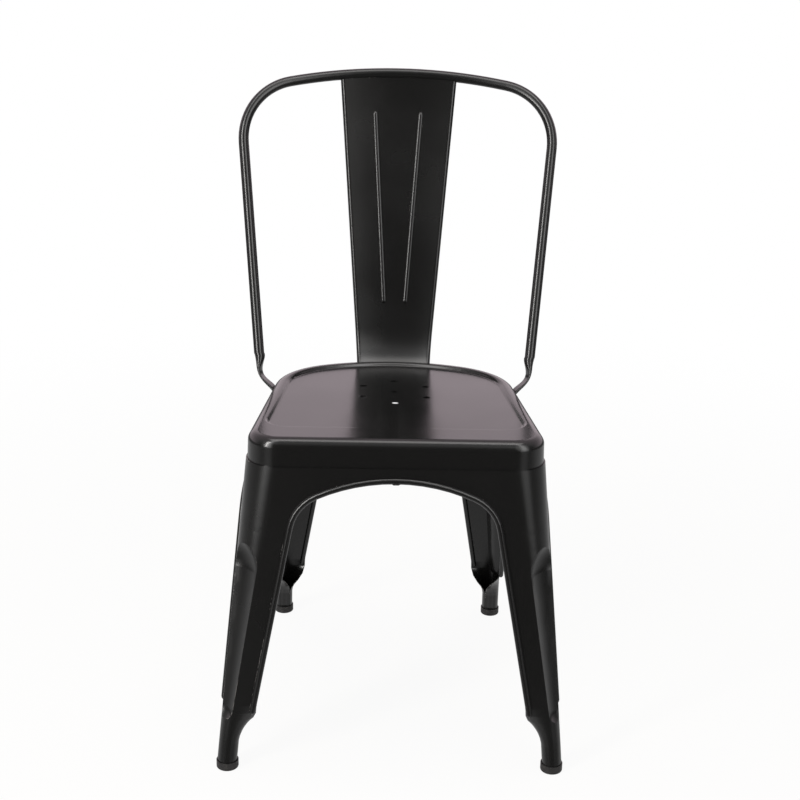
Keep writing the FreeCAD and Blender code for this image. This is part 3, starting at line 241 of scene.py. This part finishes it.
def addLamp(settings):
    data = bpy.data.lights.new(settings["name"], "AREA")
    data.shape = "RECTANGLE"
    data.size, data.size_y = settings["size"]
    data.energy = settings["power"]
    data.color = lampColour
    lamp = bpy.data.objects.new(settings["name"], data)
    bpy.context.scene.collection.objects.link(lamp)
    place = Vector(settings["place"])
    lamp.location = place
    lamp.rotation_euler = (Vector(settings["aim"]) - place).to_track_quat("-Z", "Y").to_euler()


bpy.context.scene.view_settings.view_transform = "Standard"
addRoom(roomSettings, roomSpans)
addFloor(floorSettings)
for lamp in lampSettings:
    addLamp(lamp)
print("studio lit")


# Shared effects. Each is a node group that a material takes with its own values.

def startGroup(name, inputs, outputs):
    group = bpy.data.node_groups.new(name, "ShaderNodeTree")
    for label, value in inputs.items():
        socket = group.interface.new_socket(name=label, in_out="INPUT", socket_type="NodeSocketFloat")
        socket.default_value = value
    for label in outputs:
        group.interface.new_socket(name=label, in_out="OUTPUT", socket_type="NodeSocketFloat")
    start = group.nodes.new("NodeGroupInput")
    end = group.nodes.new("NodeGroupOutput")
    return group, start.outputs, end.inputs


def objectPlace(tree):
    return addNode(tree, "ShaderNodeTexCoord").outputs["Object"]


skinSettings = {
    "detail": 2.0,
    "swellDetail": 1.0,
    "swellShare": 0.35,
}


# The fine dimpled skin of baked powder: dimples about a millimetre across on a slower swell.
def makeCoatSkin(settings):
    group, given, result = startGroup("coatSkin", {"Dimples": 700.0, "Swell": 60.0}, ("Height",))
    place = objectPlace(group)
    fine = addNoise(group, place, given["Dimples"], settings["detail"])
    slow = addNoise(group, place, given["Swell"], settings["swellDetail"])
    group.links.new(mixValues(group, settings["swellShare"], fine, slow), result["Height"])
    return group


wearSettings = {
    "edge": (0.97, 0.80),  # cosine of the rounded normal to the true one, where an edge starts and is full
    "chipDetail": 3.0,
    "stretchScale": 14.0,  # of the stretches of edge where chips gather
    "stretchDetail": 1.0,
    "stretch": (0.54, 0.70),
    "pull": 0.22,  # how much such a stretch adds to the chips' noise
    "bare": (0.70, 0.73),
    "dotScale": 26.0,  # of the cells that may each hold one speck
    "dotSize": 0.016,
    "dotShare": 0.1,  # of the cells, at a full amount of specks
}


# Chips: small bare places that gather along edges, and a few stray specks anywhere.
def makeEdgeWear(settings):
    group, given, result = startGroup(
        "edgeWear", {"Width": 0.0012, "Amount": 0.5, "Scale": 380.0, "Specks": 0.5}, ("Chips",))
    place = objectPlace(group)
    soft = addNode(group, "ShaderNodeBevel", {"Radius": given["Width"]}, samples=4).outputs[0]
    sharp = addNode(group, "ShaderNodeNewGeometry").outputs["Normal"]
    same = addNode(group, "ShaderNodeVectorMath", {0: soft, 1: sharp}, operation="DOT_PRODUCT")
    edge = addRange(group, same.outputs["Value"], *settings["edge"])
    patch = addNoise(group, place, given["Scale"], settings["chipDetail"])
    rare = addNoise(group, place, settings["stretchScale"], settings["stretchDetail"])
    gather = addMath(group, "MULTIPLY", addRange(group, rare, *settings["stretch"]), given["Amount"])
    bare = addMath(group, "ADD", patch, addMath(group, "MULTIPLY", gather, settings["pull"]))
    chipped = addMath(group, "MULTIPLY", addRange(group, bare, *settings["bare"]), edge)
    dots = addNode(group, "ShaderNodeTexVoronoi", {"Vector": place, "Scale": settings["dotScale"]})
    near = addMath(group, "LESS_THAN", dots.outputs["Distance"], settings["dotSize"])
    pick = addNode(group, "ShaderNodeSeparateColor", {0: dots.outputs["Color"]}).outputs[0]
    limit = addMath(group, "MULTIPLY", given["Specks"], settings["dotShare"])
    speck = addMath(group, "MULTIPLY", near, addMath(group, "LESS_THAN", pick, limit))
    group.links.new(addMath(group, "MAXIMUM", chipped, speck), result["Chips"])
    return group


dustSettings = {
    "up": (0.35, 1.0),  # how far a surface faces up, where dust starts to lie and is full
    "cloudScale": 9.0,
    "cloudDetail": 5.0,
    "cloud": (0.35, 0.75),
    "gritScale": 900.0,
    "gritDetail": 1.0,
    "grit": (0.4, 0.7),
}


# Dust that lies on what faces up, thin and patchy.
def makeDustFilm(settings):
    group, given, result = startGroup("dustFilm", {"Amount": 0.5}, ("Dust",))
    place = objectPlace(group)
    normal = addNode(group, "ShaderNodeNewGeometry").outputs["Normal"]
    up = addNode(group, "ShaderNodeSeparateXYZ", {0: normal}).outputs["Z"]
    level = addRange(group, up, *settings["up"])
    cloud = addNoise(group, place, settings["cloudScale"], settings["cloudDetail"])
    grit = addNoise(group, place, settings["gritScale"], settings["gritDetail"])
    patch = addRange(group, cloud, *settings["cloud"])
    grain = addRange(group, grit, *settings["grit"])
    film = addMath(group, "MULTIPLY", addMath(group, "MULTIPLY", patch, grain), level)
    group.links.new(addMath(group, "MULTIPLY", film, given["Amount"]), result["Dust"])
    return group


driftSettings = {
    "detail": 4.0,
    "cloud": (0.3, 0.7),
}


# Slow change of gloss over a surface, as hands and cloths leave it.
def makeGlossDrift(settings):
    group, given, result = startGroup("glossDrift", {"Scale": 7.0, "Low": 0.2, "High": 0.3}, ("Roughness",))
    cloud = addNoise(group, objectPlace(group), given["Scale"], settings["detail"])
    share = addRange(group, cloud, *settings["cloud"])
    group.links.new(mixValues(group, share, given["Low"], given["High"]), result["Roughness"])
    return group


coatSkin = makeCoatSkin(skinSettings)
edgeWear = makeEdgeWear(wearSettings)
dustFilm = makeDustFilm(dustSettings)
glossDrift = makeGlossDrift(driftSettings)


def placeGroup(tree, group, inputs):
    node = tree.nodes.new("ShaderNodeGroup")
    node.node_tree = group
    for name, value in inputs.items():
        node.inputs[name].default_value = value
    return node.outputs


def startMaterial(name):
    material = bpy.data.materials.new(name)
    material.use_nodes = True
    tree = material.node_tree
    tree.nodes.clear()
    shader = addNode(tree, "ShaderNodeBsdfPrincipled")
    out = addNode(tree, "ShaderNodeOutputMaterial")
    tree.links.new(shader.outputs[0], out.inputs["Surface"])
    return material, tree, shader


# Gives a shader its colour, its roughness and a relief of so many metres.
def dressShader(tree, shader, colour, roughness, height, relief):
    tree.links.new(colour, shader.inputs["Base Color"])
    tree.links.new(roughness, shader.inputs["Roughness"])
    bump = addNode(tree, "ShaderNodeBump", {"Height": height, "Distance": relief, "Strength": 1.0})
    tree.links.new(bump.outputs[0], shader.inputs["Normal"])


coatDefaults = {
    "colour": (0.0062, 0.0061, 0.0060, 1),
    "worn": (0.42, 0.40, 0.39, 1),
    "dustColour": (0.16, 0.15, 0.15, 1),
    "smooth": 0.20,
    "rough": 0.28,
    "wornRough": 0.25,  # how much rougher a bare place is
    "drift": 7.0,
    "dimples": 650.0,
    "skin": 0.00003,
    "wear": 0.5,
    "edge": 0.0012,
    "specks": 0.4,
    "dust": 0.03,
}


# Satin black powder coat.
def makeCoat(name, **changes):
    settings = dict(coatDefaults, **changes)
    material, tree, shader = startMaterial(name)
    chips = placeGroup(tree, edgeWear, {"Width": settings["edge"], "Amount": settings["wear"],
                                        "Specks": settings["specks"]})["Chips"]
    dust = placeGroup(tree, dustFilm, {"Amount": settings["dust"]})["Dust"]
    gloss = placeGroup(tree, glossDrift, {"Scale": settings["drift"], "Low": settings["smooth"],
                                          "High": settings["rough"]})["Roughness"]
    skin = placeGroup(tree, coatSkin, {"Dimples": settings["dimples"]})["Height"]
    dusty = mixColours(tree, dust, settings["colour"], settings["dustColour"])
    chipped = mixColours(tree, chips, dusty, settings["worn"])
    duller = addMath(tree, "ADD", gloss, addMath(tree, "MULTIPLY", chips, settings["wornRough"]), True)
    height = addMath(tree, "SUBTRACT", skin, chips)
    dressShader(tree, shader, chipped, duller, height, settings["skin"])
    return material


steelSettings = {
    "gloss": {"Scale": 60.0, "Low": 0.28, "High": 0.5},
    "light": (0.52, 0.53, 0.55, 1),
    "dark": (0.38, 0.38, 0.38, 1),
    "grain": 180.0,
    "detail": 4.0,
    "relief": 0.00003,
}


# Zinc-plated steel of the nuts.
def makeSteel(name, settings):
    material, tree, shader = startMaterial(name)
    gloss = placeGroup(tree, glossDrift, settings["gloss"])["Roughness"]
    cloud = addNoise(tree, objectPlace(tree), settings["grain"], settings["detail"])
    tone = mixColours(tree, cloud, settings["light"], settings["dark"])
    dressShader(tree, shader, tone, gloss, cloud, settings["relief"])
    shader.inputs["Metallic"].default_value = 1.0
    return material


plasticSettings = {
    "gloss": {"Scale": 40.0, "Low": 0.45, "High": 0.62},
    "skin": {"Dimples": 1400.0, "Swell": 220.0},
    "colour": (0.014, 0.013, 0.013, 1),
    "scuffed": (0.035, 0.033, 0.031, 1),
    "scuffScale": 150.0,
    "scuffDetail": 5.0,
    "scuff": (0.5, 0.8),
    "relief": 0.00006,
}


# Moulded plastic of the foot caps, matt and a little scuffed.
def makePlastic(name, settings):
    material, tree, shader = startMaterial(name)
    gloss = placeGroup(tree, glossDrift, settings["gloss"])["Roughness"]
    skin = placeGroup(tree, coatSkin, settings["skin"])["Height"]
    scuff = addNoise(tree, objectPlace(tree), settings["scuffScale"], settings["scuffDetail"])
    share = addRange(tree, scuff, *settings["scuff"])
    tone = mixColours(tree, share, settings["colour"], settings["scuffed"])
    dressShader(tree, shader, tone, gloss, skin, settings["relief"])
    return material


finishes = (
    (makeCoat("seatCoat", smooth=0.17, rough=0.23, dust=0.02),
     ("seat_pan",)),
    (makeCoat("legCoat", wear=1.0, specks=0.8),
     ("front_left_leg", "front_right_leg", "rear_left_leg", "rear_right_leg")),
    (makeCoat("hoopCoat", smooth=0.22, rough=0.26, skin=0.00001, wear=0.1),
     ("backrest_hoop",)),
    (makeCoat("panelCoat"),
     ("back_panel", "back_panel_rivets")),
    (makeCoat("braceCoat", smooth=0.28, rough=0.4),
     ("cross_brace_lower", "cross_brace_upper", "brace_rivet")),
    (makeCoat("screwCoat", smooth=0.25, rough=0.35, edge=0.0006),
     ("backrest_screws",)),
    (makeSteel("nutSteel", steelSettings),
     ("backrest_nuts",)),
    (makePlastic("capPlastic", plasticSettings),
     ("foot_cap_front_left", "foot_cap_front_right", "foot_cap_rear_left", "foot_cap_rear_right")),
)
for material, names in finishes:
    for name in names:
        nodes[name].data.materials.clear()
        nodes[name].data.materials.append(material)
print("finishes given:", len(finishes))


# Welds: under the middle of each side, a short bead joins the rolled edges of two legs.

weldSettings = {
    "girth": 0.0040,
    "lumps": 3,
    "step": 0.0021,  # between the lumps
    "segments": 24,
    "rings": 14,
    "slice": 0.0003,  # how much of a wing's end is measured
    "bead": 0.006,  # height of the rolled edge
    "grain": 0.0005,  # edge of the remesh's cells
}
# Each weld's leg, and the axis along which that leg's wing ends there.
weldPlaces = {
    "weld_front": ("front_left_leg", 0),
    "weld_rear": ("rear_left_leg", 0),
    "weld_left": ("front_left_leg", 1),
    "weld_right": ("front_right_leg", 1),
}


# The centre of the rolled edge where a leg's wing ends, along X for axis 0 and along Y for axis 1.
def wingEnd(name, axis, settings):
    points = [vertex.co for vertex in nodes[name].data.vertices]
    reach = max(point[axis] for point in points)
    section = [point for point in points if point[axis] > reach - settings["slice"]]
    low = min(point.z for point in section)
    edge = [point for point in section if point.z < low + settings["bead"]]
    return sum(edge, Vector()) / len(edge)


def addWeld(name, leg, axis, settings, material):
    centre = wingEnd(leg, axis, settings)
    along = Vector((1, 0, 0)) if axis == 0 else Vector((0, 1, 0))
    bpy.ops.object.select_all(action="DESELECT")
    lumps = []
    for index in range(settings["lumps"]):
        shift = index - (settings["lumps"] - 1) / 2
        bpy.ops.mesh.primitive_uv_sphere_add(segments=settings["segments"], ring_count=settings["rings"],
                                             radius=settings["girth"],
                                             location=centre + along * shift * settings["step"])
        lumps.append(bpy.context.object)
    for lump in lumps:
        lump.select_set(True)
    bpy.ops.object.join()
    weld = bpy.context.object
    weld.name = name
    bpy.ops.object.transform_apply(location=True, rotation=True, scale=True)
    bpy.ops.object.modifier_add(type="REMESH")
    weld.modifiers[-1].voxel_size = settings["grain"]
    bpy.ops.object.modifier_apply(modifier=weld.modifiers[-1].name)
    bpy.ops.object.shade_smooth()
    weld.data.materials.clear()
    weld.data.materials.append(material)
    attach(weld, "root")


weldCoat = makeCoat("weldCoat", smooth=0.3, rough=0.42, dimples=420.0, skin=0.0001, wear=0.8)
for name, (leg, axis) in weldPlaces.items():
    addWeld(name, leg, axis, weldSettings, weldCoat)
print("welds added:", len(weldPlaces))
